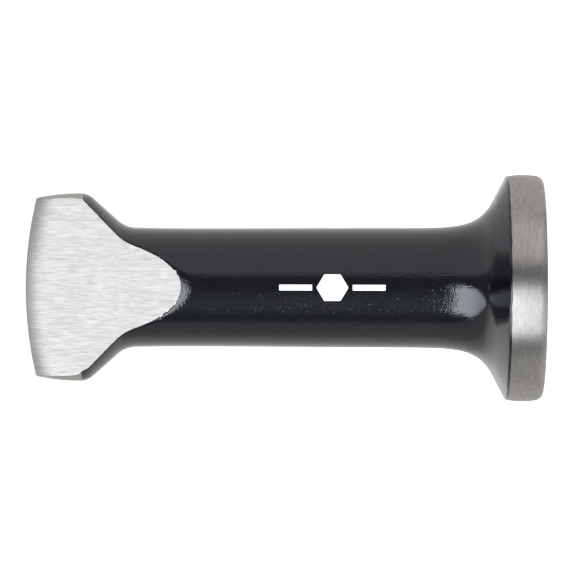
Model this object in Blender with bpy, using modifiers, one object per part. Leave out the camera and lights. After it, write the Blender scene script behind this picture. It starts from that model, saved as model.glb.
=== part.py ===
"""Brick bolster chisel, modelled in metres with Blender.

The tool stands on its striking face. The origin is the centre of that face, +Z runs up the
tool's axis to the cutting edge, X runs across the blade and the blade's flats face -Y and +Y.

It is one drop forging in steel, with one coat of black lacquer over the grip, and a small
printed mark on the lacquer. Each of these layers is its own closed solid.
"""

import math

import bmesh
import bpy

MM = 0.001

# Striking head: a disc with a bare, slightly barrelled rim and a rounded lower edge.
HEAD_RADIUS = 30.0 * MM
RIM_MIDDLE = 5.3 * MM
RIM_BARREL_DROP = 0.26 * MM
RIM_BARREL_HALF = 3.6 * MM
FACE_EDGE_AXIAL = 2.3 * MM
FACE_EDGE_RADIAL = 2.0 * MM

# Flare: a short cone above the rim that runs out into the shank like a trumpet.
RIM_TOP = 9.23 * MM
CONE_SLOPE = 1.92
CONE_TOP = 12.7 * MM
RIM_EDGE_RADIUS = 0.8 * MM
TRUMPET_RISE = 8.1 * MM
TRUMPET_DECAY = 3.95 * MM

# Shank: round, a little slimmer near the blade than near the head.
SHANK_RADIUS = 15.80 * MM
WAIST_RADIUS = 15.55 * MM
TAPER_START = 40.0 * MM
WAIST_HEIGHT = 92.0 * MM

# Shoulders: the bar is spread sideways into the blade.
SHOULDER_SWELL = 0.18 * MM
SHOULDER_START = 107.2 * MM
SHOULDER_FILLET = 7.5 * MM
SHOULDER_ANGLE = math.radians(41.7)
BLADE_HALF_WIDTH = 24.78 * MM
BLADE_WIDEST = 122.2 * MM
BLADE_SIDE_RADIUS = 54.0 * MM

# Blade: two ground flats that meet in a rounded edge, which is crowned across its width.
LENGTH = 136.6 * MM
FLAT_TAPER = 0.331
FLATS_START = 95.2 * MM
CROWN_RADIUS = 100.0 * MM
BEVEL_RADIUS = 10.5 * MM
RIDGE_RADIUS = 1.2 * MM

# Layers: lacquer over the steel, and a printed mark over the lacquer.
COAT_THICKNESS = 0.25 * MM
CLEARANCE = 0.30 * MM
COAT_TOP = 121.2 * MM
MARK_THICKNESS = 0.15 * MM
MARK_MIDDLE = 55.6 * MM
HEXAGON_WIDTH = 8.4 * MM
HEXAGON_HEIGHT = 7.0 * MM
BAR_LENGTH = 8.6 * MM
BAR_HEIGHT = 1.5 * MM
BAR_GAP = 1.1 * MM

SEGMENTS = 48
SMOOTH_ANGLE = math.radians(28)
SLOPE_STEP = 0.02 * MM
RING_SPACING = 0.15 * MM
CONE_RINGS_START = CONE_TOP - 2.8 * MM
TRUMPET_RINGS_END = 19.9 * MM
FOOT_RINGS_END = 28.0 * MM
BLADE_CORNER_START = 119.0 * MM
STEEL_TOP = LENGTH + 3.0 * MM
CUTTER_HALF_WIDTH = 34.0 * MM
CUTTER_BOTTOM = -3.0 * MM
CUTTER_STATIONS = 21
BEVEL_STEPS = 4
RIDGE_STEPS = 4
HALVINGS = 60
MERGE_DISTANCE = 0.01 * MM

OBJECT_NAME = "brick_bolster_chisel"


def clear_scene():
    for old in list(bpy.data.objects):
        bpy.data.objects.remove(old, do_unlink=True)


def new_collection(name):
    collection = bpy.data.collections.new(name)
    bpy.context.scene.collection.children.link(collection)
    return collection


def material(name, colour, roughness, metallic):
    made = bpy.data.materials.new(name)
    made.use_nodes = True
    shader = made.node_tree.nodes["Principled BSDF"]
    shader.inputs["Base Color"].default_value = (*colour, 1.0)
    shader.inputs["Roughness"].default_value = roughness
    shader.inputs["Metallic"].default_value = metallic
    made.diffuse_color = (*colour, 1.0)
    return made


def spaced(low, high, count):
    return [low + (high - low) * step / count for step in range(count + 1)]


# The tool's outline: its depth radius, which is turned, and its half width, which is forged.


def rim_radius(z):
    share = (z - RIM_MIDDLE) / RIM_BARREL_HALF
    return HEAD_RADIUS - RIM_BARREL_DROP * share * share


def shank_radius(z):
    share = min(max((z - TAPER_START) / (WAIST_HEIGHT - TAPER_START), 0.0), 1.0)
    taper = (1.0 + math.cos(math.pi * share)) / 2.0
    return WAIST_RADIUS + (SHANK_RADIUS - WAIST_RADIUS) * taper


def depth_radius(z):
    """Radius of the turned shape above the rim."""
    foot = SHANK_RADIUS + TRUMPET_RISE
    if z < CONE_TOP:
        return foot + CONE_SLOPE * (CONE_TOP - z)
    trumpet = TRUMPET_RISE * math.exp(-(z - CONE_TOP) / TRUMPET_DECAY)
    return shank_radius(z) + trumpet


def half_width(z):
    """Half of the tool's width across the blade, above the waist of the shank."""
    swell = max(z - WAIST_HEIGHT, 0.0) / (SHOULDER_START - WAIST_HEIGHT)
    if z < SHOULDER_START:
        return depth_radius(z) + SHOULDER_SWELL * swell * swell
    lean, rise = math.sin(SHOULDER_ANGLE), 1.0 - math.cos(SHOULDER_ANGLE)
    slope = math.tan(SHOULDER_ANGLE)
    root = depth_radius(SHOULDER_START) + SHOULDER_SWELL
    line_start = SHOULDER_START + SHOULDER_FILLET * lean
    line_low = root + SHOULDER_FILLET * rise
    spare = slope * (BLADE_WIDEST - line_start) - (BLADE_HALF_WIDTH - line_low)
    corner = spare / (slope * lean - rise)
    line_end = BLADE_WIDEST - corner * lean
    if z < line_start:
        return root + SHOULDER_FILLET - math.sqrt(SHOULDER_FILLET**2 - (z - SHOULDER_START) ** 2)
    if z < line_end:
        return line_low + slope * (z - line_start)
    if z < BLADE_WIDEST:
        return BLADE_HALF_WIDTH - corner + math.sqrt(corner**2 - (z - BLADE_WIDEST) ** 2)
    return BLADE_HALF_WIDTH - (z - BLADE_WIDEST) ** 2 / (2.0 * BLADE_SIDE_RADIUS)


def inset(outline, z, depth):
    """The outline moved inwards by depth, measured square to its slope."""
    slope = (outline(z + SLOPE_STEP) - outline(z - SLOPE_STEP)) / (2.0 * SLOPE_STEP)
    return outline(z) - depth * math.hypot(1.0, slope)


def outline_heights(low, high):
    """Heights for the rings of a turned shape, closer together where the outline bends."""
    fillet_end = SHOULDER_START + SHOULDER_FILLET * math.sin(SHOULDER_ANGLE)
    stretches = (
        spaced(CONE_RINGS_START, CONE_TOP, 3)
        + spaced(CONE_TOP, TRUMPET_RINGS_END, 8)[1:]
        + spaced(TRUMPET_RINGS_END, FOOT_RINGS_END, 5)[1:]
        + spaced(FOOT_RINGS_END, TAPER_START, 2)[1:]
        + spaced(TAPER_START, WAIST_HEIGHT, 5)[1:]
        + spaced(WAIST_HEIGHT, SHOULDER_START, 2)[1:]
        + spaced(SHOULDER_START, fillet_end, 5)[1:]
        + spaced(fillet_end, BLADE_CORNER_START, 3)[1:]
        + spaced(BLADE_CORNER_START, BLADE_WIDEST, 4)[1:]
        + spaced(BLADE_WIDEST, STEEL_TOP, 6)[1:]
    )
    between = [z for z in stretches if low + RING_SPACING < z < high - RING_SPACING]
    return [low] + between + [high]


def rim_edge_points():
    """The small round between the rim and the flare, from the rim up."""
    cone_angle = math.atan(CONE_SLOPE)
    reach = RIM_EDGE_RADIUS * math.tan(cone_angle / 2.0)
    rim = rim_radius(RIM_TOP)
    corner = CONE_TOP - (rim - SHANK_RADIUS - TRUMPET_RISE) / CONE_SLOPE
    centre_z, centre_r = corner - reach, rim - RIM_EDGE_RADIUS
    return [
        (centre_r + RIM_EDGE_RADIUS * math.cos(turn), centre_z + RIM_EDGE_RADIUS * math.sin(turn))
        for turn in spaced(0.0, cone_angle, 4)
    ]


def turned(name, profile, collection, looped=False):
    """A closed solid turned about Z, from (radius, height) points.

    A solid shape's profile starts and ends on the axis. A tube's is looped: up its outside
    and down its inside.
    """
    mesh = bpy.data.meshes.new(name + "_profile")
    downwards = [(radius, 0.0, z) for radius, z in reversed(profile)]
    links = [(i, i + 1) for i in range(len(downwards) - 1)]
    if looped:
        links.append((len(downwards) - 1, 0))
    mesh.from_pydata(downwards, links, [])
    turning = bpy.data.objects.new(name + "_profile", mesh)
    collection.objects.link(turning)
    screw = turning.modifiers.new("Turn", "SCREW")
    screw.steps = SEGMENTS
    screw.render_steps = SEGMENTS
    screw.use_merge_vertices = True
    screw.merge_threshold = MERGE_DISTANCE
    screw.use_smooth_shade = True
    seen = turning.evaluated_get(bpy.context.evaluated_depsgraph_get())
    solid = bpy.data.objects.new(name, bpy.data.meshes.new_from_object(seen))
    solid.data.name = name
    collection.objects.link(solid)
    bpy.data.objects.remove(turning, do_unlink=True)
    bpy.data.meshes.remove(mesh)
    return solid


def spread_blade(solid):
    """Forges the round bar of a turned solid sideways to the blade's width.

    A point's depth below the surface stays what it was, so that layers stay parallel.
    """
    for vertex in solid.data.vertices:
        x, y, z = vertex.co
        radius = math.hypot(x, y)
        if z > WAIST_HEIGHT and radius > MM:
            below = depth_radius(z) - radius
            vertex.co.x = x * inset(half_width, z, below) / radius


def crown_height(x):
    """Height of the cutting edge at a place across the blade."""
    return LENGTH - CROWN_RADIUS + math.sqrt(CROWN_RADIUS**2 - x * x)


def cutting_edge(x):
    """(lean where the ridge starts, height of the bevels' centres, how far they lie apart).

    Each flat runs into a large rounded bevel, and the two bevels meet in a small round ridge
    that reaches the crown. The bevel is tangent to its flat and to the ridge.
    """
    apex = FLATS_START + WAIST_RADIUS / FLAT_TAPER
    half_angle = math.atan(FLAT_TAPER)
    inner = BEVEL_RADIUS - RIDGE_RADIUS
    low, high = 0.0, inner
    for _ in range(HALVINGS):
        offset = (low + high) / 2.0
        meet = math.acos(offset / inner)
        centre = crown_height(x) - RIDGE_RADIUS - inner * math.sin(meet)
        tangent_half = BEVEL_RADIUS * math.cos(half_angle) - offset
        tangent_centre = apex - tangent_half / FLAT_TAPER - BEVEL_RADIUS * math.sin(half_angle)
        if tangent_centre < centre:
            low = offset
        else:
            high = offset
    return meet, centre, offset


def wedge_section(x):
    """Outline, in (y, z), of the space between the flats with the rounded edge on top."""
    apex = FLATS_START + WAIST_RADIUS / FLAT_TAPER
    low_half = (apex - CUTTER_BOTTOM) * FLAT_TAPER
    meet, centre, offset = cutting_edge(x)
    bevel = [
        (BEVEL_RADIUS * math.cos(turn) - offset, centre + BEVEL_RADIUS * math.sin(turn))
        for turn in spaced(math.atan(FLAT_TAPER), meet, BEVEL_STEPS)
    ]
    ridge_centre = crown_height(x) - RIDGE_RADIUS
    ridge = [
        (RIDGE_RADIUS * math.cos(turn), ridge_centre + RIDGE_RADIUS * math.sin(turn))
        for turn in spaced(meet, math.pi - meet, RIDGE_STEPS)[1:-1]
    ]
    other_bevel = [(-y, z) for y, z in reversed(bevel)]
    return [(low_half, CUTTER_BOTTOM)] + bevel + ridge + other_bevel + [(-low_half, CUTTER_BOTTOM)]


def wedge_cutter(collection):
    """Everything between the two flats and below the crowned edge, lofted across the blade."""
    shape = bmesh.new()
    rows = [
        [shape.verts.new((x, y, z)) for y, z in wedge_section(x)]
        for x in spaced(-CUTTER_HALF_WIDTH, CUTTER_HALF_WIDTH, CUTTER_STATIONS)
    ]
    for near, far in zip(rows, rows[1:]):
        for i in range(len(near)):
            following = (i + 1) % len(near)
            shape.faces.new((near[i], near[following], far[following], far[i]))
    shape.faces.new(rows[0])
    shape.faces.new(rows[-1])
    bmesh.ops.recalc_face_normals(shape, faces=shape.faces)
    mesh = bpy.data.meshes.new("wedge_cutter")
    shape.to_mesh(mesh)
    shape.free()
    cutter = bpy.data.objects.new("wedge_cutter", mesh)
    collection.objects.link(cutter)
    hide_cutter(cutter)
    return cutter


def hide_cutter(cutter):
    cutter.hide_render = True
    cutter.display_type = "WIRE"


def boolean(target, operation, cutter):
    cut = target.modifiers.new(operation.title(), "BOOLEAN")
    cut.operation = operation
    cut.solver = "EXACT"
    cut.object = cutter


def finish(solid, finish_material):
    solid.data.materials.clear()
    solid.data.materials.append(finish_material)
    solid.data.shade_smooth()
    solid.data.set_sharp_from_angle(angle=SMOOTH_ANGLE)


def make_forging(parts, wedge):
    """The steel: bare at the head's rim and at the blade, set back under the lacquer."""
    buried = COAT_THICKNESS + CLEARANCE
    face_radius = rim_radius(FACE_EDGE_AXIAL) - FACE_EDGE_RADIAL
    face_edge = [
        (
            face_radius + FACE_EDGE_RADIAL * math.sin(turn),
            FACE_EDGE_AXIAL * (1.0 - math.cos(turn)),
        )
        for turn in spaced(0.0, math.pi / 2.0, 5)
    ]
    rim = [(rim_radius(z), z) for z in spaced(FACE_EDGE_AXIAL, RIM_TOP, 6)[1:]]
    grip = [(inset(depth_radius, z, buried), z) for z in outline_heights(RIM_TOP, COAT_TOP)]
    blade = [(depth_radius(z), z) for z in outline_heights(COAT_TOP, STEEL_TOP)]
    profile = [(0.0, 0.0)] + face_edge + rim + grip + blade + [(0.0, STEEL_TOP)]
    solid = turned("forged_steel_body", profile, parts)
    spread_blade(solid)
    boolean(solid, "INTERSECT", wedge)
    finish(solid, material("bare_ground_steel", (0.62, 0.61, 0.60), 0.32, 1.0))
    return solid


def make_coat(parts, wedge):
    """The lacquer: a thin skin from the rim's edge up to the blade, open over the flats."""
    lower = RIM_TOP + CLEARANCE
    upper = COAT_TOP - CLEARANCE
    outer = [(rim_radius(lower), lower)]
    outer += [point for point in rim_edge_points() if point[1] > lower + RING_SPACING]
    above_edge = outer[-1][1] + RING_SPACING
    heights = outline_heights(lower, upper)
    outer += [(depth_radius(z), z) for z in heights if z > above_edge]
    inner_limit = rim_radius(lower) - COAT_THICKNESS
    inner = [(min(inset(depth_radius, z, COAT_THICKNESS), inner_limit), z) for z in heights]
    solid = turned("lacquer_coat", outer + inner[::-1], parts, looped=True)
    spread_blade(solid)
    boolean(solid, "INTERSECT", wedge)
    finish(solid, material("black_lacquer", (0.012, 0.013, 0.015), 0.12, 0.0))
    return solid


def outline_prism(name, points, collection):
    """A flat outline in (across, up), extruded through the front of the shank."""
    curve = bpy.data.curves.new(name, "CURVE")
    curve.dimensions = "2D"
    curve.fill_mode = "BOTH"
    curve.extrude = SHANK_RADIUS / 2.0
    spline = curve.splines.new("POLY")
    spline.points.add(len(points) - 1)
    for spot, (across, up) in zip(spline.points, points):
        spot.co = (across, up, 0.0, 1.0)
    spline.use_cyclic_u = True
    drawn = bpy.data.objects.new(name + "_outline", curve)
    drawn.rotation_euler = (math.pi / 2.0, 0.0, 0.0)
    drawn.location = (0.0, -SHANK_RADIUS, 0.0)
    collection.objects.link(drawn)
    bpy.context.view_layer.update()
    seen = drawn.evaluated_get(bpy.context.evaluated_depsgraph_get())
    mesh = bpy.data.meshes.new_from_object(seen)
    shape = bmesh.new()
    shape.from_mesh(mesh)
    bmesh.ops.remove_doubles(shape, verts=shape.verts, dist=MERGE_DISTANCE)
    bmesh.ops.recalc_face_normals(shape, faces=shape.faces)
    shape.to_mesh(mesh)
    shape.free()
    prism = bpy.data.objects.new(name + "_prism", mesh)
    prism.matrix_world = drawn.matrix_world
    collection.objects.link(prism)
    bpy.data.objects.remove(drawn, do_unlink=True)
    hide_cutter(prism)
    return prism


def make_mark(parts, cutters):
    """A plain printed mark along the grip: a hexagon between two bars."""
    printed = material("white_print", (0.85, 0.86, 0.87), 0.35, 0.0)
    corners = ((1, -0.25), (1, 0.25), (0, 0.5), (-1, 0.25), (-1, -0.25), (0, -0.5))
    shapes = {
        "printed_hexagon": [
            (HEXAGON_HEIGHT / 2.0 * side, MARK_MIDDLE + HEXAGON_WIDTH * reach)
            for side, reach in corners
        ]
    }
    for name, sign in (("printed_bar_upper", 1.0), ("printed_bar_lower", -1.0)):
        near = MARK_MIDDLE + sign * (HEXAGON_WIDTH / 2.0 + BAR_GAP)
        far = near + sign * BAR_LENGTH
        side = BAR_HEIGHT / 2.0
        shapes[name] = [(-side, near), (side, near), (side, far), (-side, far)]
    for name, points in shapes.items():
        bottom = min(z for _, z in points) - MM
        top = max(z for _, z in points) + MM
        under = [(shank_radius(z) + CLEARANCE, z) for z in spaced(bottom, top, 3)]
        over = [(radius + MARK_THICKNESS, z) for radius, z in under]
        solid = turned(name, over + under[::-1], parts, looped=True)
        boolean(solid, "INTERSECT", outline_prism(name, points, cutters))
        finish(solid, printed)


def build():
    clear_scene()
    parts = new_collection(OBJECT_NAME)
    cutters = new_collection("cutters")
    wedge = wedge_cutter(cutters)
    make_forging(parts, wedge)
    make_coat(parts, wedge)
    make_mark(parts, cutters)


build()
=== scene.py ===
"""Looks of the brick bolster chisel: fine meshes, materials, light, floor and camera.

Everything is in metres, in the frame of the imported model: the tool stands on its striking
face at the origin, +Z runs up its axis to the cutting edge, X runs across the blade and the
blade's flats face -Y and +Y. Outline dimensions repeat those of the CAD part.
"""

import functools
import math

import bmesh
import bpy
from mathutils import Matrix, Vector, noise


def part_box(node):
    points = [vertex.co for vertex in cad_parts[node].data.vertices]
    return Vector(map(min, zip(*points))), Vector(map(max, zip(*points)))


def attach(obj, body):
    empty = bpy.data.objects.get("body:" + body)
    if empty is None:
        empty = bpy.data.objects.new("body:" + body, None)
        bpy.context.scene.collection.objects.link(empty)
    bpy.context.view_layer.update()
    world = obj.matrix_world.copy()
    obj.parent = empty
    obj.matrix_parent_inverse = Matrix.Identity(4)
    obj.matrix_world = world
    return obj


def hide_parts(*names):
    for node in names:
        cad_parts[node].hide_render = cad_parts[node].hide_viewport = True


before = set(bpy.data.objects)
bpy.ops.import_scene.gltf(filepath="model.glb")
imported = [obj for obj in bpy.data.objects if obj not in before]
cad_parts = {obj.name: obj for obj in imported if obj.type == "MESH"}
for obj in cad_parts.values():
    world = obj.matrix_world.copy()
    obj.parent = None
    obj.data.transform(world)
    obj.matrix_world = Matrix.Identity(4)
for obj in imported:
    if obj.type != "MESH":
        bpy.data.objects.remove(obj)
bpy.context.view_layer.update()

MM = 0.001
MM_IN_METRE = 1000.0

# Outline, as in the CAD part.
_, STEEL_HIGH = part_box("forged_steel_body")
HEAD_RADIUS = STEEL_HIGH.x
LENGTH = STEEL_HIGH.z
RIM_MIDDLE = 5.3 * MM
RIM_BARREL_DROP = 0.26 * MM
RIM_BARREL_HALF = 3.6 * MM
FACE_EDGE_AXIAL = 2.3 * MM
FACE_EDGE_RADIAL = 2.0 * MM
RIM_TOP = 9.23 * MM
RIM_EDGE_RADIUS = 0.8 * MM
CONE_SLOPE = 1.92
CONE_TOP = 12.7 * MM
TRUMPET_RISE = 8.1 * MM
TRUMPET_DECAY = 3.95 * MM
SHANK_RADIUS = 15.80 * MM
WAIST_RADIUS = 15.55 * MM
TAPER_START = 40.0 * MM
WAIST_HEIGHT = 92.0 * MM
SHOULDER_SWELL = 0.18 * MM
SHOULDER_START = 107.2 * MM
SHOULDER_FILLET = 7.5 * MM
SHOULDER_ANGLE = math.radians(41.7)
BLADE_HALF_WIDTH = 24.78 * MM
BLADE_WIDEST = 122.2 * MM
BLADE_SIDE_RADIUS = 54.0 * MM
FLATS_START = 95.2 * MM
CROWN_RADIUS = 100.0 * MM
NOSE_RADIUS = 10.5 * MM  # of the round from each flat to the ridge
RIDGE_RADIUS = 1.2 * MM
COAT_TOP = 121.2 * MM

# Finer shape that only the looks have.
FLAT_TAPER = 0.3183  # a little less than the CAD's 0.331, as the flat's tip is rounded here
WEDGE_ANGLE = math.atan(FLAT_TAPER)
TIP_SET_BACK = 0.42 * MM  # flat below the forged surface's own line, at the flat's tip
TOP_SET_BACK = 0.07 * MM  # the same at the top of the lacquer
SET_BACK_POWER = 3  # how fast it falls from the one to the other
BLEND_GROUND = 0.06 * MM  # how much the finish grinding took off the forged flat
BARE_FADE = 2.0 * MM
NEAR_TIP = 6.0 * MM  # the forged surface is rounded from this far below the flats
EDGE_ROUND = 0.16 * MM  # round between flat and side, on bare steel
EDGE_ROUND_START = COAT_TOP + 0.1 * MM
EDGE_ROUND_FULL = COAT_TOP + 1.2 * MM
EDGE_ROUND_CUT = 0.7  # how far it cuts back flat and side, in radii
EDGE_ROUND_LIMIT = 0.8  # its largest radius, in half thicknesses of the blade
CORNER_ROUND = 0.35 * MM  # of the cutting edge's two corners
EDGE_DROP = 2.8 * MM  # the cutting edge's corners below its highest point

# The lacquer's film, and how it thins out at the rim and along the flats.
FILM = 0.06 * MM
FILM_BASE = 0.004 * MM  # gap between it and the steel
FILM_AT_RIM = 0.01 * MM  # thickness where the rim's bare steel ends
FILM_RISE_AT_RIM = 0.5  # growth of the thickness with height from there
FILM_CUT_START = FLATS_START - 8.0 * MM
FILM_CUT_SHARE = 0.9  # thickness in the room left between the steel and the flat's plane
CUT_WIDTH = 0.36 * MM  # width of the film's edge along the flat

# Raggedness of the film's edges. A wave is its share, its size in millimetres and its seed.
RAGGED = 0.85 * MM
RAGGED_ABOVE = 0.3  # what is left of it beside the blade
RAGGED_BIAS = 0.08
RAGGED_WAVES = ((0.45, 0.9, 3.0), (1.0, 0.30, 8.0))
CALM_START = 99.0 * MM
CALM_FULL = 106.0 * MM
TOP_WAVES = ((1.0, 1.6, 5.0),)
TOP_WAVE_HEIGHT = 0.10 * MM
TOP_WAVE_REACH = 4.0 * MM
TOP_SLANT = {1.0: 0.25 * MM, -1.0: -0.9 * MM}  # rise towards the back, at +X and at -X
RIM_WAVES = ((1.0, 2.2, 11.0), (0.7, 0.8, 2.0))
RIM_WAVE_HEIGHT = 0.18 * MM
RIM_WAVE_REACH = 1.5 * MM
SEED_SKEW = 0.7  # a seed's shift along Z, as a share of its shift along X
EDGE_NOISE_Y = 9.0  # in millimetres; keeps the noise of front and back edges apart

# Squareness of the ground sides at +X and -X: amount, then the heights where it starts, is
# full, starts to fall and ends.
SQUARENESS = {
    1.0: (0.30, 119.4 * MM, 121.8 * MM, 123.0 * MM, 130.0 * MM),
    -1.0: (0.15, 121.0 * MM, 122.6 * MM, 124.0 * MM, 129.0 * MM),
}

FILM_CREASE = math.radians(38.0)

# Inner and outer face of the ink: this much more than the film's thickness off the steel.
INK_BASE = 0.008 * MM
INK_TOP = 0.03 * MM

# Fineness of the meshes.
SIDE_STEPS = 72
ROUND_STEPS = 4
FLAT_STEPS = 56
NOSE_STEPS = 14
FACE_SHARES = (0.02, 0.25, 0.5, 0.75, 0.93)
FACE_EDGE_STEPS = 14
RIM_STEPS = 18
RIM_EDGE_STEPS = 6
FLARE_TOP, FLARE_STEPS = 20.0 * MM, 34
FILLET_TOP, FILLET_STEPS = 30.0 * MM, 12
SHANK_STEPS = 30
TIP_STEP = 0.016 * MM
BELOW_TIP = 5.6 * MM
ABOVE_TIP = 6.0 * MM
PAINTED_STEPS = 44
BARE_STEPS = 26
INK_STEPS_ACROSS = 20
INK_STEPS_ALONG = 24
HALVINGS = 60  # of the search in nose_shape
RIM_ROUNDS = 40  # of the search in nose_rim
LEAST_STEP = 0.02 * MM  # between the rim's top and the next ring
SLOPE_STEP = 0.05 * MM  # up and down, to measure the flare's slope
MERGE_DISTANCE = 0.0002 * MM
NOTHING = 0.0001 * MM  # shorter than any length that matters


def spaced(low, high, count):
    return [low + (high - low) * step / count for step in range(count + 1)]


def smooth_step(value, low, high):
    share = min(max((value - low) / (high - low), 0.0), 1.0)
    return share * share * (3.0 - 2.0 * share)


# Outline functions -----------------------------------------------------------------------


def rim_radius(z):
    share = (z - RIM_MIDDLE) / RIM_BARREL_HALF
    return HEAD_RADIUS - RIM_BARREL_DROP * share * share


def shank_radius(z):
    share = min(max((z - TAPER_START) / (WAIST_HEIGHT - TAPER_START), 0.0), 1.0)
    taper = (1.0 + math.cos(math.pi * share)) / 2.0
    return WAIST_RADIUS + (SHANK_RADIUS - WAIST_RADIUS) * taper


def depth_radius(z):
    """Radius of the turned shape above the rim, and half of the blade's depth."""
    foot = SHANK_RADIUS + TRUMPET_RISE
    if z < CONE_TOP:
        return foot + CONE_SLOPE * (CONE_TOP - z)
    trumpet = TRUMPET_RISE * math.exp(-(z - CONE_TOP) / TRUMPET_DECAY)
    return shank_radius(z) + trumpet


def half_width(z):
    """Half of the tool's width across the blade, above the waist of the shank."""
    swell = max(z - WAIST_HEIGHT, 0.0) / (SHOULDER_START - WAIST_HEIGHT)
    if z < SHOULDER_START:
        return depth_radius(z) + SHOULDER_SWELL * swell * swell
    lean, rise = math.sin(SHOULDER_ANGLE), 1.0 - math.cos(SHOULDER_ANGLE)
    slope = math.tan(SHOULDER_ANGLE)
    root = depth_radius(SHOULDER_START) + SHOULDER_SWELL
    line_start = SHOULDER_START + SHOULDER_FILLET * lean
    line_low = root + SHOULDER_FILLET * rise
    spare = slope * (BLADE_WIDEST - line_start) - (BLADE_HALF_WIDTH - line_low)
    corner = spare / (slope * lean - rise)
    line_end = BLADE_WIDEST - corner * lean
    if z < line_start:
        return root + SHOULDER_FILLET - math.sqrt(SHOULDER_FILLET**2 - (z - SHOULDER_START) ** 2)
    if z < line_end:
        return line_low + slope * (z - line_start)
    if z < BLADE_WIDEST:
        return BLADE_HALF_WIDTH - corner + math.sqrt(corner**2 - (z - BLADE_WIDEST) ** 2)
    return BLADE_HALF_WIDTH - (z - BLADE_WIDEST) ** 2 / (2.0 * BLADE_SIDE_RADIUS)


# Blade sections --------------------------------------------------------------------------


def set_back(z):
    """How far the flat lies below the line where the unrounded forged surface meets it."""
    share = min(max((z - FLATS_START) / (COAT_TOP - FLATS_START), 0.0), 1.0)
    fade = 1.0 - smooth_step(z, COAT_TOP - BARE_FADE, COAT_TOP + BARE_FADE)
    fall = (TIP_SET_BACK - TOP_SET_BACK) * (1.0 - share) ** SET_BACK_POWER
    return fade * (TOP_SET_BACK + fall)


APEX = FLATS_START + (WAIST_RADIUS - TIP_SET_BACK) / FLAT_TAPER


def flat_depth(z):
    """Half thickness between the two ground flats."""
    return (APEX - z) * FLAT_TAPER


def squeezed(depth, z):
    """Depth of the forged surface, rounded where it comes near the flat."""
    back = set_back(z)
    if back < NOTHING:
        return depth
    ground = min(BLEND_GROUND, back)
    reach = (math.sqrt(back) + math.sqrt(ground)) ** 2
    limit = flat_depth(z) + ground
    overlap = max(reach - abs(depth - limit), 0.0)
    return min(depth, limit) - overlap * overlap / (4.0 * reach)


def crown_height(x):
    """Height of the cutting edge at a place across the blade, with rounded ends."""
    arch = LENGTH - CROWN_RADIUS + math.sqrt(CROWN_RADIUS**2 - x * x)
    past = abs(x) - (EDGE_HALF_WIDTH - CORNER_ROUND)
    if past <= 0.0:
        return arch
    past = min(past, CORNER_ROUND)
    return arch - CORNER_ROUND + math.sqrt(CORNER_ROUND**2 - past * past)


@functools.lru_cache(maxsize=None)
def nose_shape(x):
    """(turn where the ridge's round starts, height of the big round's centre, its offset)."""
    crown = crown_height(x)
    inner = NOSE_RADIUS - RIDGE_RADIUS
    flat_cos, flat_sin = math.cos(WEDGE_ANGLE), math.sin(WEDGE_ANGLE)
    low, high = 0.0, inner
    for _ in range(HALVINGS):
        offset = (low + high) / 2.0
        meet = math.acos(offset / inner)
        tangent_depth = NOSE_RADIUS * flat_cos - offset
        centre = crown - RIDGE_RADIUS - inner * math.sin(meet)
        reached = APEX - tangent_depth / FLAT_TAPER - NOSE_RADIUS * flat_sin
        low, high = (offset, high) if reached < centre else (low, offset)
    return meet, centre, offset


def nose_point(x, turn):
    """(half thickness, height) on the rounded edge; turn runs from the flat to the top."""
    meet, centre, offset = nose_shape(x)
    if turn < meet:
        return NOSE_RADIUS * math.cos(turn) - offset, centre + NOSE_RADIUS * math.sin(turn)
    ridge = centre + (NOSE_RADIUS - RIDGE_RADIUS) * math.sin(meet)
    return RIDGE_RADIUS * math.cos(turn), ridge + RIDGE_RADIUS * math.sin(turn)


def squareness(z, sign):
    """Exponent of the blade's section: 2 is an ellipse, more has flatter, ground sides."""
    most, start, rise, fall, end = SQUARENESS[sign]
    return 2.0 + most * smooth_step(z, start, rise) * (1.0 - smooth_step(z, fall, end))


def side_x(depth, z, sign=1.0):
    """Half width of the blade's side at a depth."""
    share = min(depth / depth_radius(z), 1.0)
    power = squareness(z, sign)
    return half_width(z) * (1.0 - share**power) ** (1.0 / power)


EDGE_HALF_WIDTH = half_width(LENGTH - EDGE_DROP)


def nose_rim(turn, sign=1.0):
    """(x, half thickness, height) where the rounded edge runs out at the blade's side."""
    x = EDGE_HALF_WIDTH
    for _ in range(RIM_ROUNDS):
        depth, z = nose_point(min(x, EDGE_HALF_WIDTH), turn)
        x = side_x(depth, z, sign)
    return x, depth, z


# Rings of the side surface ---------------------------------------------------------------


def ring(z, radius=None):
    """A level section. Below the flats it is a full round."""
    depth = radius if radius is not None else depth_radius(z)
    width = depth if z < WAIST_HEIGHT else half_width(z)
    made = {"z": z, "width": width, "depth": depth, "open": math.pi / 2.0, "edge": None}
    if z > FLATS_START:
        edge = flat_depth(z) + set_back(z)
        made["open"] = math.asin(min(edge / depth, 1.0))
        made["edge"] = flat_depth(z)
    return made


def nose_ring(turn, sign):
    x, depth, z = nose_rim(turn, sign)
    made = ring(z)
    made["open"] = math.asin(min(depth / made["depth"], 1.0))
    made["edge"] = depth
    made["nose"] = turn
    return made


def tip_steps(reach):
    """Distances from the flat's tip, closer together near it, as its outline is round there."""
    found, index = [], 1
    while TIP_STEP * index * index < reach:
        found.append(TIP_STEP * index * index)
        index += 1
    return found


def head_rings():
    """Striking face, its rounded edge, the rim and the small round above it."""
    face = rim_radius(FACE_EDGE_AXIAL) - FACE_EDGE_RADIAL
    made = [ring(0.0, face * share) for share in FACE_SHARES]
    for turn in spaced(0.0, math.pi / 2.0, FACE_EDGE_STEPS):
        radius = face + FACE_EDGE_RADIAL * math.sin(turn)
        made.append(ring(FACE_EDGE_AXIAL * (1.0 - math.cos(turn)), radius))
    made += [ring(z, rim_radius(z)) for z in spaced(FACE_EDGE_AXIAL, RIM_TOP, RIM_STEPS)[1:]]
    return made


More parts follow.
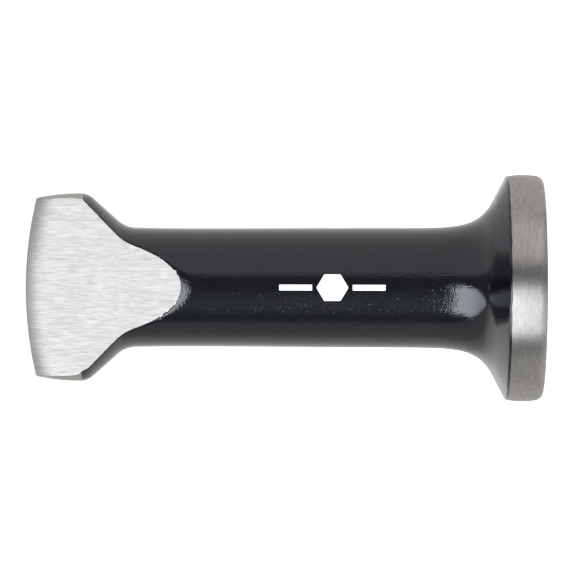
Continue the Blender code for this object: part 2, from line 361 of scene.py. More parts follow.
def rim_edge_rings():
    """The small round between the rim and the flare."""
    cone_angle = math.atan(CONE_SLOPE)
    reach = RIM_EDGE_RADIUS * math.tan(cone_angle / 2.0)
    rim = rim_radius(RIM_TOP)
    corner = CONE_TOP - (rim - SHANK_RADIUS - TRUMPET_RISE) / CONE_SLOPE
    centre_z, centre_r = corner - reach, rim - RIM_EDGE_RADIUS
    made = []
    for turn in spaced(0.0, cone_angle, RIM_EDGE_STEPS):
        z = centre_z + RIM_EDGE_RADIUS * math.sin(turn)
        if z > RIM_TOP + LEAST_STEP:
            made.append(ring(z, centre_r + RIM_EDGE_RADIUS * math.cos(turn)))
    return made


def grip_heights():
    """Heights from the flare to the flat's tip."""
    start = rim_edge_rings()[-1]["z"]
    flare = spaced(start, FLARE_TOP, FLARE_STEPS)[1:]
    fillet = spaced(FLARE_TOP, FILLET_TOP, FILLET_STEPS)[1:]
    shank = spaced(FILLET_TOP, FLATS_START - NEAR_TIP, SHANK_STEPS)[1:]
    near = [FLATS_START - step for step in reversed(tip_steps(BELOW_TIP))]
    return flare + fillet + shank + near + [FLATS_START]


def blade_heights():
    """Heights from the flat's tip to the top of the lacquer, then to the rounded edge."""
    near = [FLATS_START + step for step in tip_steps(ABOVE_TIP)]
    painted = near + spaced(near[-1], COAT_TOP, PAINTED_STEPS)[1:]
    top = nose_rim(WEDGE_ANGLE)[2]
    bare = spaced(COAT_TOP, top, BARE_STEPS)[1:-1]
    return painted, bare


def steel_rings(sign):
    painted, bare = blade_heights()
    made = head_rings() + rim_edge_rings() + [ring(z) for z in grip_heights()]
    made += [ring(z) for z in painted + bare]
    made += [nose_ring(turn, sign) for turn in spaced(WEDGE_ANGLE, math.pi / 2.0, NOSE_STEPS)]
    return made


def edge_round(section):
    """Radius of the small round between flat and side: none under the lacquer."""
    if section["edge"] is None:
        return 0.0
    wanted = EDGE_ROUND * smooth_step(section["z"], EDGE_ROUND_START, EDGE_ROUND_FULL)
    return min(wanted, EDGE_ROUND_LIMIT * section["edge"])


def side_point(section, turn, sign):
    """(x, y) on the side surface; turn goes round from 0 at the side."""
    reach = section["depth"] * math.sin(turn)
    x = section["width"] * math.cos(turn)
    if section["edge"] is not None:
        x = side_x(abs(reach), section["z"], sign)
    return x, reach


def side_row(section, sign):
    """Points of one ring on one side, from the front flat round to the back flat."""
    z, opening, small = section["z"], section["open"], edge_round(section)
    if small > NOTHING:
        cut = EDGE_ROUND_CUT * small
        opening = math.asin(max(section["edge"] - cut, 0.0) / section["depth"])
    arc = []
    for turn in spaced(-opening, opening, SIDE_STEPS):
        x, y = side_point(section, turn, sign)
        if z > FLATS_START - NEAR_TIP:
            y = math.copysign(squeezed(abs(y), z), y)
        arc.append((x, y))
    corner = [arc[-1]] * ROUND_STEPS
    if small > NOTHING:
        outer_x, outer_y = arc[-1]
        edge_y = section["edge"]
        sharp_x = side_x(edge_y, z, sign)
        flat_x = sharp_x - cut
        corner = []
        for share in spaced(0.0, 1.0, ROUND_STEPS)[1:]:
            first, middle, last = (1.0 - share) ** 2, 2.0 * share * (1.0 - share), share**2
            x = first * outer_x + middle * sharp_x + last * flat_x
            y = first * outer_y + middle * edge_y + last * edge_y
            corner.append((x, y))
    row = [(x, -y) for x, y in reversed(corner)] + arc + corner
    return [Vector((sign * x, y, z)) for x, y in row]


def flat_row(section, low_x, high_x):
    """Points across the front flat, or across the rounded edge above it."""
    row = []
    middle, half = (high_x + low_x) / 2.0, (high_x - low_x) / 2.0
    rim_x, _, rim_z = nose_rim(WEDGE_ANGLE)
    for step in range(FLAT_STEPS + 1):
        across = math.sin(math.pi * (step / FLAT_STEPS - 0.5))
        x = middle + across * half
        if "nose" in section:
            depth, z = nose_point(x, section["nose"])
        else:
            _, line_z = nose_point(across * rim_x, WEDGE_ANGLE)
            share = (section["z"] - FLATS_START) / (rim_z - FLATS_START)
            z = FLATS_START + (line_z - FLATS_START) * share
            depth = flat_depth(z)
        row.append(Vector((x, -depth, z)))
    return row


# Mesh building ---------------------------------------------------------------------------


def add_grid(shape, rows, slot, flipped=False):
    """Faces between rows of points. Points that coincide are merged later."""
    verts = [[shape.verts.new(point) for point in row] for row in rows]
    for lower, upper in zip(verts, verts[1:]):
        for i in range(len(lower) - 1):
            corners = (lower[i], lower[i + 1], upper[i + 1], upper[i])
            face = shape.faces.new(corners[::-1] if flipped else corners)
            face.material_index = slot
            face.smooth = True
    return verts


def mirrored(rows):
    """The front's rows on the back."""
    return [[Vector((point.x, -point.y, point.z)) for point in row] for row in rows]


def object_from(shape, name, materials):
    bmesh.ops.remove_doubles(shape, verts=shape.verts, dist=MERGE_DISTANCE)
    bmesh.ops.dissolve_degenerate(shape, edges=shape.edges, dist=NOTHING)
    bmesh.ops.recalc_face_normals(shape, faces=shape.faces)
    mesh = bpy.data.meshes.new(name)
    shape.to_mesh(mesh)
    shape.free()
    for finish in materials:
        mesh.materials.append(finish)
    made = bpy.data.objects.new(name, mesh)
    bpy.context.scene.collection.objects.link(made)
    return made


# The steel's finishes, in the order of its materials, and the heights where they change.
FACE, RIM, SIDE, FLAT = range(4)
FACE_TOP = 0.046 * MM
RIM_FINISH_TOP = RIM_TOP + 2.0 * MM
CREASE_TOP = COAT_TOP + 0.3 * MM


def build_steel(materials):
    shape = bmesh.new()
    sides = {}
    for sign in (1.0, -1.0):
        sections = steel_rings(sign)
        sides[sign] = [side_row(section, sign) for section in sections]
        add_grid(shape, sides[sign], SIDE, flipped=sign < 0.0)
    first = next(i for i, section in enumerate(sections) if section["z"] >= FLATS_START)
    flat_rows = []
    for i in range(first, len(sections)):
        low, high = sides[-1.0][i][0], sides[1.0][i][0]
        row = flat_row(sections[i], low.x, high.x)
        row[0], row[-1] = low, high
        flat_rows.append(row)
    add_grid(shape, flat_rows, FLAT)
    add_grid(shape, mirrored(flat_rows), FLAT, flipped=True)
    bmesh.ops.remove_doubles(shape, verts=shape.verts, dist=MERGE_DISTANCE)
    bmesh.ops.holes_fill(shape, edges=shape.edges, sides=SIDE_STEPS * 4)
    for face in shape.faces:
        centre = face.calc_center_median()
        if centre.z < FACE_TOP:
            face.material_index = FACE
        elif centre.z < RIM_FINISH_TOP:
            face.material_index = RIM
    for edge in shape.edges:
        kinds = {face.material_index for face in edge.link_faces}
        middle = (edge.verts[0].co + edge.verts[1].co) / 2.0
        edge.smooth = not (kinds == {SIDE, FLAT} and middle.z < CREASE_TOP)
    return object_from(shape, "steel_body", materials)


def wavy(point, waves):
    """Sum of even noises at a place in millimetres."""
    total = 0.0
    for share, size, seed in waves:
        shift = Vector((seed, -seed, seed * SEED_SKEW))
        total += share * noise.noise(point / size + shift)
    return total


def coat_rows(outward):
    """Rows of the lacquer's outer or inner surface on the +X side, and on the -X side."""
    painted, _ = blade_heights()
    sections = [ring(RIM_TOP, rim_radius(RIM_TOP))] + rim_edge_rings()
    sections += [ring(z) for z in grip_heights() + painted]
    return [[coat_row(section, sign, outward) for section in sections] for sign in (1.0, -1.0)]


def width_at(section, z):
    """Half width of a ring's section at a slightly changed height."""
    return section["width"] if z < WAIST_HEIGHT else half_width(z)


def coat_steps(section):
    """Shares of the way round a row; the first and last are as wide as the film's edge."""
    share = 2.0 / SIDE_STEPS
    if section["edge"] is not None:
        reach = section["width"] * math.sin(section["open"]) * section["open"]
        share = min(share, CUT_WIDTH / reach)
    return [-1.0] + spaced(share - 1.0, 1.0 - share, SIDE_STEPS - 2) + [1.0]


def ragged_opening(section, sign, step):
    """Where the row ends, at the flat: the film has chipped back a little from it."""
    opening = section["open"]
    across = sign * section["depth"] * math.cos(opening) / MM
    spot = Vector((across, math.copysign(EDGE_NOISE_Y, step), section["z"] / MM))
    ragged = max(wavy(spot, RAGGED_WAVES) + RAGGED_BIAS, 0.0)
    calm = smooth_step(section["z"], CALM_START, CALM_FULL)
    short = RAGGED * (1.0 - (1.0 - RAGGED_ABOVE) * calm) * ragged / section["depth"]
    return math.acos(min(math.cos(opening) + short, 1.0))


def film_thickness(y, z):
    """Thickness of the lacquer over a place on the steel."""
    clear = FILM
    if z > FILM_CUT_START:
        clear = min(clear, FILM_CUT_SHARE * max(flat_depth(z) - abs(y), 0.0))
    at_rim = FILM_RISE_AT_RIM * (z - RIM_TOP) + FILM_AT_RIM
    return max(min(clear, at_rim), 0.0)


def coat_row(section, sign, outward):
    """One row of the lacquer's surface on one side."""
    row = []
    for step in coat_steps(section):
        opening = section["open"]
        if section["edge"] is not None:
            opening = ragged_opening(section, sign, step)
        turn = step * opening
        z = section["z"] + coat_end_shift(section["z"], sign, turn)
        width = width_at(section, z)
        x, y = side_point(dict(section, width=width, z=z), turn, sign)
        if z > FLATS_START - NEAR_TIP:
            y = math.copysign(squeezed(abs(y), z), y)
        lift = FILM_BASE + (film_thickness(y, z) if outward else 0.0)
        normal = Vector((x / width**2, y / section["depth"] ** 2, 0.0)).normalized()
        normal.z = coat_lean(z)
        normal.normalize()
        row.append(Vector((sign * (x + lift * normal.x), y + lift * normal.y, z + lift * normal.z)))
    return row


def coat_lean(z):
    """How much the flare's surface faces up the tool."""
    if z > TAPER_START:
        return 0.0
    return (depth_radius(z - SLOPE_STEP) - depth_radius(z + SLOPE_STEP)) / (2.0 * SLOPE_STEP)


def coat_end_shift(z, sign, turn):
    """The lacquer's two ends aren't quite level, and their edges are a little uneven."""
    upper = smooth_step(z, COAT_TOP - TOP_WAVE_REACH, COAT_TOP)
    lower = 1.0 - smooth_step(z, RIM_TOP, RIM_TOP + RIM_WAVE_REACH)
    spot = Vector((math.cos(turn) * sign, math.sin(turn), 0.0)) * HEAD_RADIUS / MM
    shift = 0.0
    if upper > 0.0:
        slant = TOP_SLANT[sign] * math.sin(turn)
        shift += upper * (slant + TOP_WAVE_HEIGHT * wavy(spot, TOP_WAVES))
    if lower > 0.0:
        shift += lower * RIM_WAVE_HEIGHT * wavy(spot, RIM_WAVES)
    return shift


def build_coat(finishes):
    """The film; its first finish is its face, and its second is its cut edge."""
    shape = bmesh.new()
    outer, inner = coat_rows(True), coat_rows(False)
    edge_verts = set()
    for index, flipped in ((0, False), (1, True)):
        grid = add_grid(shape, outer[index], 0, flipped)
        add_grid(shape, inner[index], 0, not flipped)
        for row in grid:
            if row[0].co.z > FLATS_START:
                edge_verts.update((row[0], row[-1]))
    for face in shape.faces:
        if sum(vert in edge_verts for vert in face.verts) >= 2:
            face.material_index = 1
    bmesh.ops.remove_doubles(shape, verts=shape.verts, dist=MERGE_DISTANCE)
    bmesh.ops.holes_fill(shape, edges=shape.edges, sides=0)
    bmesh.ops.recalc_face_normals(shape, faces=shape.faces)
    for edge in shape.edges:
        edge.smooth = edge.calc_face_angle(0.0) < FILM_CREASE
    return object_from(shape, "lacquer_skin", finishes)


def build_mark(name, half_across, span, finish):
    """A patch of ink on the front of the shank; span gives its low and high end at a place."""
    shape = bmesh.new()
    grids = []
    for lift, flipped in ((FILM + INK_TOP, False), (FILM + INK_BASE, True)):
        rows = []
        for across in spaced(-1.0, 1.0, INK_STEPS_ACROSS):
            turn = across * half_across / SHANK_RADIUS
            row = []
            for z in spaced(*span(across), INK_STEPS_ALONG):
                radius = shank_radius(z) + lift
                row.append(Vector((radius * math.sin(turn), -radius * math.cos(turn), z)))
            rows.append(row)
        grids.append(add_grid(shape, rows, 0, flipped))
    loops = []
    for grid in grids:
        loop = grid[0][:-1] + [row[-1] for row in grid[:-1]] + grid[-1][:0:-1]
        loops.append(loop + [row[0] for row in grid[:0:-1]])
    top, bottom = loops
    for i in range(len(top)):
        following = (i + 1) % len(top)
        shape.faces.new((top[i], bottom[i], bottom[following], top[following]))
    return object_from(shape, name, [finish])


# Materials -------------------------------------------------------------------------------


class Nodes:
    """Small helper that adds and links shader nodes."""

    def __init__(self, name):
        self.material = bpy.data.materials.new(name)
        self.material.use_nodes = True
        self.tree = self.material.node_tree
        self.shader = self.tree.nodes["Principled BSDF"]

    def new(self, kind, **settings):
        node = self.tree.nodes.new(kind)
        for name, value in settings.items():
            setattr(node, name, value)
        return node

    def link(self, source, target):
        self.tree.links.new(source, target)

    def set(self, **values):
        for name, value in values.items():
            self.shader.inputs[name.replace("_", " ")].default_value = value

    def position(self, stretch):
        """Place on the object in millimetres, stretched by a factor along each axis."""
        place = self.new("ShaderNodeTexCoord")
        mapping = self.new("ShaderNodeMapping")
        mapping.inputs["Scale"].default_value = [MM_IN_METRE * factor for factor in stretch]
        self.link(place.outputs["Object"], mapping.inputs["Vector"])
        return mapping.outputs["Vector"]

    def noise(self, vector, scale, detail=4.0, roughness=0.55):
        texture = self.new("ShaderNodeTexNoise")
        texture.inputs["Scale"].default_value = scale
        texture.inputs["Detail"].default_value = detail
        texture.inputs["Roughness"].default_value = roughness
        self.link(vector, texture.inputs["Vector"])
        return texture.outputs["Fac"]

    def ranged(self, value, low, high, to_low, to_high):
        node = self.new("ShaderNodeMapRange")
        for socket, number in zip(node.inputs[1:5], (low, high, to_low, to_high)):
            socket.default_value = number
        self.link(value, node.inputs["Value"])
        return node.outputs["Result"]

    def math(self, operation, first, second):
        node = self.new("ShaderNodeMath", operation=operation)
        for socket, value in zip(node.inputs, (first, second)):
            if isinstance(value, (int, float)):
                socket.default_value = value
            else:
                self.link(value, socket)
        return node.outputs["Value"]

    def mixed(self, factor, first, second):
        node = self.new("ShaderNodeMix", data_type="RGBA")
        self.link(factor, node.inputs["Factor"])
        for socket, colour in ((node.inputs[6], first), (node.inputs[7], second)):
            if isinstance(colour, tuple):
                socket.default_value = (*colour, 1.0)
            else:
                self.link(colour, socket)
        return node.outputs[2]

    def bump(self, height, strength, distance, normal=None):
        node = self.new("ShaderNodeBump")
        node.inputs["Strength"].default_value = strength
        node.inputs["Distance"].default_value = distance
        self.link(height, node.inputs["Height"])
        if normal is not None:
            self.link(normal, node.inputs["Normal"])
        return node.outputs["Normal"]


# In all finishes a noise is its scale, its detail and its roughness, a range maps its first
# two numbers to its last two, and a bump is its strength and its height.
STEEL = (0.400, 0.378, 0.352)
STEEL_TINT = (0.84, 0.84, 0.84, 1.0)  # how much of the sheen is left at grazing angles
STAIN = (0.95, 0.93, 0.91)
STAIN_STRETCH = (0.10, 0.10, 0.10)
STAIN_NOISE = (1.0, 3.0)
STAIN_RANGE = (0.45, 0.75, 0.0, 0.3)
FINE_SHARE = 0.7
BROAD_STRETCH = 0.45
STREAK_NOISE = (1.0, 2.0, 0.6)
STREAK_COLOUR_RANGE = (0.34, 0.66, 0.0, 1.0)
STREAK_RANGE = (0.3, 0.7)
STREAK_ROUGHNESS = (1.06, 0.94)
STREAK_BUMP = (0.5, 0.004 * MM)
SHEEN_TURN = 0.25

# Finishes of the steel, in the order FACE, RIM, SIDE, FLAT. Streaks run along the axes where
# the stretch is small. The sheen is drawn out square to them: along Z on the rim and along X
# on the flats.
STEEL_FINISHES = (
    {"name": "lathe_face", "stretch": (1.6, 1.6, 1.6), "roughness": 0.40, "contrast": 0.10},
    {
        "name": "turned_rim",
        "stretch": (0.5, 0.5, 4.2),
        "roughness": 0.460,
        "contrast": 0.17,
        "reflects": 0.90,
        "anisotropy": 0.955,
    },
    {"name": "ground_side", "stretch": (1.6, 1.6, 1.6), "roughness": 0.45, "contrast": 0.10},
    {
        "name": "ground_flat",
        "stretch": (4.0, 0.10, 0.34),
        "roughness": 0.595,
        "contrast": 0.15,
        "anisotropy": 0.556,
        "axis": "X",
    },
)


def scaled(colour, factor):
    return tuple(factor * channel for channel in colour)


def steel_finish(name, stretch, roughness, contrast, reflects=1.0, anisotropy=0.0, axis="Z"):
    """Bare steel with fine brushed streaks and faint stains."""
    nodes = Nodes(name)
    fine = nodes.noise(nodes.position(stretch), *STREAK_NOISE)
    broad = nodes.noise(nodes.position(scaled(stretch, BROAD_STRETCH)), *STREAK_NOISE)
    cloud = nodes.noise(nodes.position(STAIN_STRETCH), *STAIN_NOISE)
    fine_part = nodes.math("MULTIPLY", fine, FINE_SHARE)
    broad_part = nodes.math("MULTIPLY", broad, 1.0 - FINE_SHARE)
    streaks = nodes.math("ADD", fine_part, broad_part)
    bare = scaled(STEEL, reflects)
    stained = tuple(channel * share for channel, share in zip(bare, STAIN))
    lit = nodes.ranged(streaks, *STREAK_COLOUR_RANGE)
    colour = nodes.mixed(lit, scaled(bare, 1.0 - contrast), scaled(bare, 1.0 + contrast))
    colour = nodes.mixed(nodes.ranged(cloud, *STAIN_RANGE), colour, stained)
    nodes.link(colour, nodes.shader.inputs["Base Color"])
    rough = nodes.ranged(streaks, *STREAK_RANGE, *scaled(STREAK_ROUGHNESS, roughness))
    nodes.link(rough, nodes.shader.inputs["Roughness"])
    nodes.link(nodes.bump(streaks, *STREAK_BUMP), nodes.shader.inputs["Normal"])
    nodes.set(Metallic=1.0, Anisotropic=anisotropy, Anisotropic_Rotation=SHEEN_TURN)
    nodes.set(Specular_Tint=STEEL_TINT)
    along = nodes.new("ShaderNodeTangent", direction_type="RADIAL", axis=axis)
    nodes.link(along.outputs["Tangent"], nodes.shader.inputs["Tangent"])
    return nodes.material


EVEN = (1.0, 1.0, 1.0)
LACQUER_BLACKS = (0.0018, 0.0022, 0.0032), (0.0028, 0.0033, 0.0045)
LACQUER_ROUGHNESS = (0.05, 0.08)
LACQUER_IOR = 1.5
PATCH_NOISE = (0.06, 3.0)
PATCH_COLOUR_RANGE = (0.35, 0.7, 0.0, 1.0)
PATCH_RANGE = (0.3, 0.7)
PEEL_NOISE = (0.45, 2.0, 0.5)
PEEL_BUMP = (0.30, 0.04 * MM)
GRAIN_NOISE = (2.4, 0.4, 0.5)
GRAIN_BUMP = (1.0, 0.058 * MM)

# Share of the grain at heights in millimetres: faint on the flare and less beside the blade.
GRAIN_RISE = (11.0, 28.0, 0.12, 1.0)
GRAIN_FALL = (60.0, 92.0, 1.0, 0.72)


def lacquer_finish():
    """Gloss black lacquer with orange peel on the grip, and slightly duller patches."""
    nodes = Nodes("black_lacquer")
    place = nodes.position(EVEN)
    peel = nodes.noise(place, *PEEL_NOISE)
    grain = nodes.noise(place, *GRAIN_NOISE)
    patches = nodes.noise(place, *PATCH_NOISE)
    colour = nodes.mixed(nodes.ranged(patches, *PATCH_COLOUR_RANGE), *LACQUER_BLACKS)
    nodes.link(colour, nodes.shader.inputs["Base Color"])
    rough = nodes.ranged(patches, *PATCH_RANGE, *LACQUER_ROUGHNESS)
    nodes.link(rough, nodes.shader.inputs["Roughness"])
    split = nodes.new("ShaderNodeSeparateXYZ")
    nodes.link(place, split.inputs["Vector"])
    rise = nodes.ranged(split.outputs["Z"], *GRAIN_RISE)
    fall = nodes.ranged(split.outputs["Z"], *GRAIN_FALL)
    on_grip = nodes.math("MULTIPLY", rise, fall)
    coarse = nodes.math("MULTIPLY", nodes.math("SUBTRACT", grain, 0.5), on_grip)
    normal = nodes.bump(peel, *PEEL_BUMP)
    normal = nodes.bump(coarse, *GRAIN_BUMP, normal)
    nodes.link(normal, nodes.shader.inputs["Normal"])
    nodes.set(Metallic=0.0, IOR=LACQUER_IOR)
    return nodes.material


CUT_BLACKS = (0.0015, 0.0016, 0.0018), (0.005, 0.005, 0.005)
CUT_NOISE = (2.0, 2.0, 0.5)
CUT_COLOUR_RANGE = (0.4, 0.7, 0.0, 1.0)
CUT_ROUGHNESS_RANGE = (0.3, 0.7, 0.5, 0.7)
CUT_BUMP = (0.3, 0.02 * MM)


def cut_finish():
    """Dull black of the lacquer's edge, where the grinding of the flat cut through it."""
    nodes = Nodes("lacquer_edge")
    chips = nodes.noise(nodes.position(EVEN), *CUT_NOISE)
    colour = nodes.mixed(nodes.ranged(chips, *CUT_COLOUR_RANGE), *CUT_BLACKS)
    nodes.link(colour, nodes.shader.inputs["Base Color"])
    nodes.link(nodes.ranged(chips, *CUT_ROUGHNESS_RANGE), nodes.shader.inputs["Roughness"])
    nodes.link(nodes.bump(chips, *CUT_BUMP), nodes.shader.inputs["Normal"])
    nodes.set(Specular_IOR_Level=0.0)
    return nodes.material


INK_WHITES = (0.83, 0.84, 0.85), (0.60, 0.61, 0.63)
INK_NOISE = (1.6, 4.0, 0.65)
INK_COLOUR_RANGE = (0.5, 0.8, 0.0, 0.5)
INK_ROUGHNESS_RANGE = (0.3, 0.7, 0.32, 0.46)
INK_BUMP = (0.3, 0.03 * MM)


def ink_finish():
    """Satin white ink, greyer in places where it is thin."""
    nodes = Nodes("white_ink")
    thin = nodes.noise(nodes.position(EVEN), *INK_NOISE)
    colour = nodes.mixed(nodes.ranged(thin, *INK_COLOUR_RANGE), *INK_WHITES)
    nodes.link(colour, nodes.shader.inputs["Base Color"])
    nodes.link(nodes.ranged(thin, *INK_ROUGHNESS_RANGE), nodes.shader.inputs["Roughness"])
    nodes.link(nodes.bump(thin, *INK_BUMP), nodes.shader.inputs["Normal"])
    return nodes.material


# Stage -----------------------------------------------------------------------------------


FLOOR_SIZE = 12.0
FLOOR_DROP = 0.05 * MM
FLOOR_WHITE = (0.90, 0.90, 0.90, 1.0)
FLOOR_ROUGHNESS = 0.85
FLOOR_GLOW = 0.60


def make_floor():
    bpy.ops.mesh.primitive_plane_add(size=FLOOR_SIZE, location=(0.0, 0.0, -FLOOR_DROP))
    floor = bpy.context.active_object
    floor.name = "studio_floor"
    nodes = Nodes("pale_floor")
    nodes.set(Base_Color=FLOOR_WHITE, Roughness=FLOOR_ROUGHNESS)
    nodes.set(Emission_Color=(1.0, 1.0, 1.0, 1.0), Emission_Strength=FLOOR_GLOW)
    floor.data.materials.append(nodes.material)
    floor.visible_glossy = False


# Radiance of each patch of light. Upper is +X and lower is -X, as the camera is rolled.
UPPER_BACK_GLOW = (0.98, 0.98, 0.965)
LOWER_BACK_GLOW = (0.90, 0.90, 0.88)
UPPER_GLOW = (0.93, 0.95, 0.98)
LOWER_GLOW = (0.60, 0.62, 0.62)
FLAG_GLOW = (0.56, 0.58, 0.60)
BOUNCE_GLOW = (1.28, 1.28, 1.26)
BELOW_GLOW = (0.24, 0.25, 0.27)
LOW_BELOW_GLOW = (1.40, 1.40, 1.38)
DARK_GLOW = (0.175, 0.185, 0.205)
GREY_GLOW = (0.46, 0.49, 0.56)
SOFTBOX_GLOW = (6.55, 6.95, 7.65)
FILL_GLOW = (2.0, 2.1, 2.2)
UPPER_SIDE_GLOW = (1.1, 1.1, 1.1)
UPPER_BELOW_GLOW = (0.45, 0.45, 0.46)
UPPER_FRONT_GLOW = (2.3, 2.3, 2.3)
LOWER_SIDE_GLOW = (1.15, 1.15, 1.13)
SHOWN_GLOW = (1.06, 1.06, 1.06)

# Edges of the patches: (just outside, just inside), in degrees. Edges named Z are values of
# a direction's Z instead. A tilt moves an edge with the lean.
BACK_TURN_SLANT = (-8.0, 8.0)
UPPER_AROUND = (104.0, 92.0), (0.0, 8.0)
LOWER_AROUND = (-122.0, -104.0), (2.0, -6.0)
FLAG_LEAN = (98.0, 108.0), (172.0, 150.0)
FLAG_SLANT = (-2.0, 3.0), (30.0, 14.0)
BOUNCE_LEAN = (103.0, 112.0), (172.0, 160.0)
BOUNCE_SLANT = (-2.0, -7.0), (-40.0, -26.0)
OPENING_TOP = (26.5, 21.5)
OPENING_TOP_TILT = 0.13
OPENING_BOTTOM = (-72.5, -70.0)
OPENING_BOTTOM_CURVE = -0.0065
OPENING_LEAN = (108.0, 104.0), (-40.0, -22.0)
GREY_SLANT = (2.0, -28.0), (-64.0, -34.0)
GREY_LEAN = (-40.0, 0.0)
BOX_LEAN = (11.5, 13.5), (92.0, 90.0)
BOX_SLANT = (-48.0, -45.5)
BOX_TOP, BOX_TOP_TILT = (5.5, 3.5), 0.10
BOX_CORNER, BOX_CORNER_TILT = (12.4, 10.0), 0.25
BOX_BOTTOM, BOX_BOTTOM_TILT = (-91.0, -88.5), -0.85
BOX_FADE_LEAN, BOX_FADE = (26.0, 86.0), -0.50
SIDE_Z = (-0.20, -0.46)
UPPER_SIDE_AROUND = (25.0, 34.0)
LOWER_SIDE_AROUND = (-76.0, -88.0)
FRONT_Z = (-0.16, -0.34)
FRONT_AROUND = (27.0, 34.0), (82.0, 66.0)
LOW_DARK_LEAN = (-12.0, -30.0)
LOW_DARK_SLANT = (-46.0, -50.0)
LOW_DARK_AROUND = (-74.0, -70.0)
FILL_LEAN = (-10.0, -16.0), (-56.0, -48.0)
FILL_SLANT = (0.0, -6.0), (-47.0, -42.0)
BELOW_Z = (-0.62, -0.74)
LOW_BELOW_AROUND = (-90.0, -77.0)
UPPER_BELOW_AROUND = (26.0, 34.0)


def make_world():
    """A light tent, open round the camera, with a softbox in the opening.

    Directions are given by lean, the angle round the X axis from -Y up towards +Z, by slant,
    the angle out of the YZ plane towards +X, and by around, the angle round Z from -Y to +X.
    """
    world = bpy.data.worlds.new("tent")
    world.use_nodes = True
    bpy.context.scene.world = world
    tree = world.node_tree
    background = tree.nodes["Background"]

    def node(kind, **settings):
        made = tree.nodes.new(kind)
        for name, value in settings.items():
            setattr(made, name, value)
        return made

    def calc(operation, *values):
        made = node("ShaderNodeMath", operation=operation)
        for socket, value in zip(made.inputs, values):
            if isinstance(value, (int, float)):
                socket.default_value = value
            else:
                tree.links.new(value, socket)
        return made.outputs[0]

    def ramp(value, low, high):
        """0 at low and 1 at high, which may be the smaller number."""
        made = node("ShaderNodeMapRange", interpolation_type="SMOOTHSTEP")
        tree.links.new(value, made.inputs["Value"])
        made.inputs["From Min"].default_value = low
        made.inputs["From Max"].default_value = high
        return made.outputs["Result"]

    def product(first, second):
        return calc("MULTIPLY", first, second)

    def within(value, edges):
        """1 between two edges and 0 past them."""
        start, end = edges
        return product(ramp(value, *start), ramp(value, *end))

    def blend(factor, first, second):
        made = node("ShaderNodeMix", data_type="RGBA")
        tree.links.new(factor, made.inputs["Factor"])
        for socket, colour in ((made.inputs[6], first), (made.inputs[7], second)):
            if isinstance(colour, tuple):
                socket.default_value = (*colour, 1.0)
            else:
                tree.links.new(colour, socket)
        return made.outputs[2]

    place = node("ShaderNodeTexCoord")
    split = node("ShaderNodeSeparateXYZ")
    tree.links.new(place.outputs["Generated"], split.inputs["Vector"])
    towards = calc("MULTIPLY", split.outputs["Y"], -1.0)
    lean = calc("DEGREES", calc("ARCTAN2", split.outputs["Z"], towards))
    slant = calc("DEGREES", calc("ARCSINE", split.outputs["X"]))
    around = calc("DEGREES", calc("ARCTAN2", split.outputs["X"], towards))

    back = blend(ramp(slant, *BACK_TURN_SLANT), LOWER_BACK_GLOW, UPPER_BACK_GLOW)
    glow = blend(within(around, UPPER_AROUND), back, UPPER_GLOW)
    glow = blend(within(around, LOWER_AROUND), glow, LOWER_GLOW)
    flag = product(within(lean, FLAG_LEAN), within(slant, FLAG_SLANT))
    glow = blend(flag, glow, FLAG_GLOW)
    bounce = product(within(lean, BOUNCE_LEAN), within(slant, BOUNCE_SLANT))
    glow = blend(bounce, glow, BOUNCE_GLOW)

    raised = calc("MAXIMUM", lean, 0.0)
    top = calc("MULTIPLY_ADD", raised, OPENING_TOP_TILT, slant)
    bottom = calc("MULTIPLY_ADD", calc("MULTIPLY", raised, raised), OPENING_BOTTOM_CURVE, slant)
    opening = product(ramp(top, *OPENING_TOP), ramp(bottom, *OPENING_BOTTOM))
    opening = product(opening, within(lean, OPENING_LEAN))
    grey = product(within(slant, GREY_SLANT), ramp(lean, *GREY_LEAN))
    glow = blend(opening, glow, blend(grey, DARK_GLOW, GREY_GLOW))

    box = product(within(lean, BOX_LEAN), ramp(slant, *BOX_SLANT))
    for edge, tilt in (
        (BOX_TOP, BOX_TOP_TILT),
        (BOX_CORNER, BOX_CORNER_TILT),
        (BOX_BOTTOM, BOX_BOTTOM_TILT),
    ):
        box = product(box, ramp(calc("MULTIPLY_ADD", lean, tilt, slant), *edge))
    box = product(box, calc("MULTIPLY_ADD", ramp(lean, *BOX_FADE_LEAN), BOX_FADE, 1.0))
    glow = blend(box, glow, SOFTBOX_GLOW)

    upright = split.outputs["Z"]
    upper_side = product(ramp(upright, *SIDE_Z), ramp(around, *UPPER_SIDE_AROUND))
    glow = blend(upper_side, glow, UPPER_SIDE_GLOW)
    front = product(ramp(upright, *FRONT_Z), within(around, FRONT_AROUND))
    glow = blend(front, glow, UPPER_FRONT_GLOW)
    lower_side = product(ramp(upright, *SIDE_Z), ramp(around, *LOWER_SIDE_AROUND))
    glow = blend(lower_side, glow, LOWER_SIDE_GLOW)
    low_dark = product(ramp(lean, *LOW_DARK_LEAN), ramp(slant, *LOW_DARK_SLANT))
    low_dark = product(low_dark, ramp(around, *LOW_DARK_AROUND))
    glow = blend(low_dark, glow, DARK_GLOW)
    fill = product(within(lean, FILL_LEAN), within(slant, FILL_SLANT))
    glow = blend(fill, glow, FILL_GLOW)
    below = blend(ramp(around, *LOW_BELOW_AROUND), LOW_BELOW_GLOW, BELOW_GLOW)
    below = blend(ramp(around, *UPPER_BELOW_AROUND), below, UPPER_BELOW_GLOW)
    glow = blend(ramp(upright, *BELOW_Z), glow, below)

    seen = node("ShaderNodeLightPath")
    shown = blend(seen.outputs["Is Camera Ray"], glow, SHOWN_GLOW)
    tree.links.new(shown, background.inputs["Color"])


CAMERA_DISTANCE = 1.19
CAMERA_HEIGHT = 67.2 * MM
CAMERA_SIDE = -0.13 * MM
CAMERA_ROLL = 0.0025
FRAME_WIDTH = 152.4 * MM
SENSOR = 36.0  # width in millimetres; the lens is in the same unit
CLIP = (0.01, 50.0)


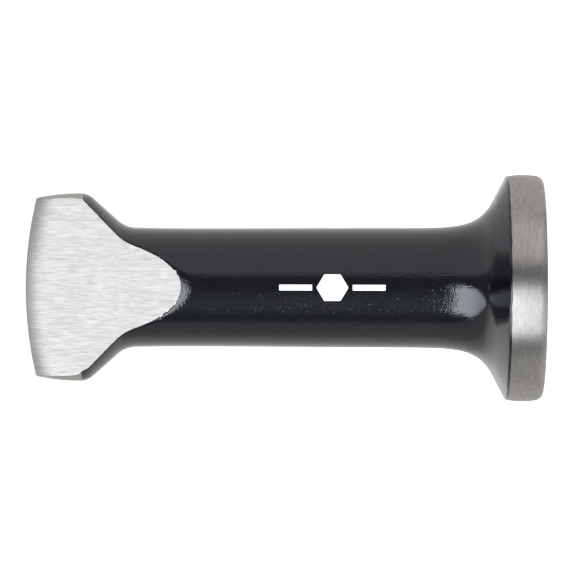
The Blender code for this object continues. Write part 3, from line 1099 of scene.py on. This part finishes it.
def make_camera():
    """Square to the axis and in front of a flat, rolled so that the blade points left."""
    data = bpy.data.cameras.new("camera")
    data.sensor_width = SENSOR
    data.lens = SENSOR * CAMERA_DISTANCE / FRAME_WIDTH
    data.clip_start, data.clip_end = CLIP
    camera = bpy.data.objects.new("camera", data)
    right = Vector((CAMERA_ROLL, 0.0, -1.0)).normalized()
    up = Vector((1.0, 0.0, CAMERA_ROLL)).normalized()
    back = Vector((0.0, -1.0, 0.0))
    turned = Matrix((right, up, back)).transposed().to_4x4()
    place = Matrix.Translation((CAMERA_SIDE, -CAMERA_DISTANCE, CAMERA_HEIGHT))
    camera.matrix_world = place @ turned
    bpy.context.scene.collection.objects.link(camera)
    bpy.context.scene.camera = camera


# The tool --------------------------------------------------------------------------------

# The printed mark, as in the CAD part. Its width runs along the tool.
MARK_MIDDLE = 55.6 * MM
HEXAGON_WIDTH = 8.4 * MM
HEXAGON_HEIGHT = 7.0 * MM
BAR_LENGTH = 8.6 * MM
BAR_HEIGHT = 1.5 * MM
BAR_GAP = 1.1 * MM


def hexagon_span(across):
    """Low and high end of the hexagon at a place from -1 to 1 across it."""
    half = HEXAGON_WIDTH / 2.0 * (1.0 - abs(across) / 2.0)
    return MARK_MIDDLE - half, MARK_MIDDLE + half


def bar_span(sign):
    """The same for the bar above or below the hexagon."""
    near = MARK_MIDDLE + sign * (HEXAGON_WIDTH / 2.0 + BAR_GAP)
    far = near + sign * BAR_LENGTH

    def span(across):
        return min(near, far), max(near, far)

    return span


def dress(piece, node):
    """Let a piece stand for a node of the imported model."""
    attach(piece, "root")
    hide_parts(node)


def build_tool():
    steel = [steel_finish(**finish) for finish in STEEL_FINISHES]
    dress(build_steel(steel), "forged_steel_body")
    coat = build_coat([lacquer_finish(), cut_finish()])
    dress(coat, "lacquer_coat")
    ink = ink_finish()
    half_bar = BAR_HEIGHT / 2.0
    hexagon = build_mark("ink_hexagon", HEXAGON_HEIGHT / 2.0, hexagon_span, ink)
    dress(hexagon, "printed_hexagon")
    upper_bar = build_mark("ink_bar_upper", half_bar, bar_span(1.0), ink)
    dress(upper_bar, "printed_bar_upper")
    lower_bar = build_mark("ink_bar_lower", half_bar, bar_span(-1.0), ink)
    dress(lower_bar, "printed_bar_lower")


bpy.context.scene.view_settings.view_transform = "Standard"
build_tool()
make_floor()
make_world()
make_camera()
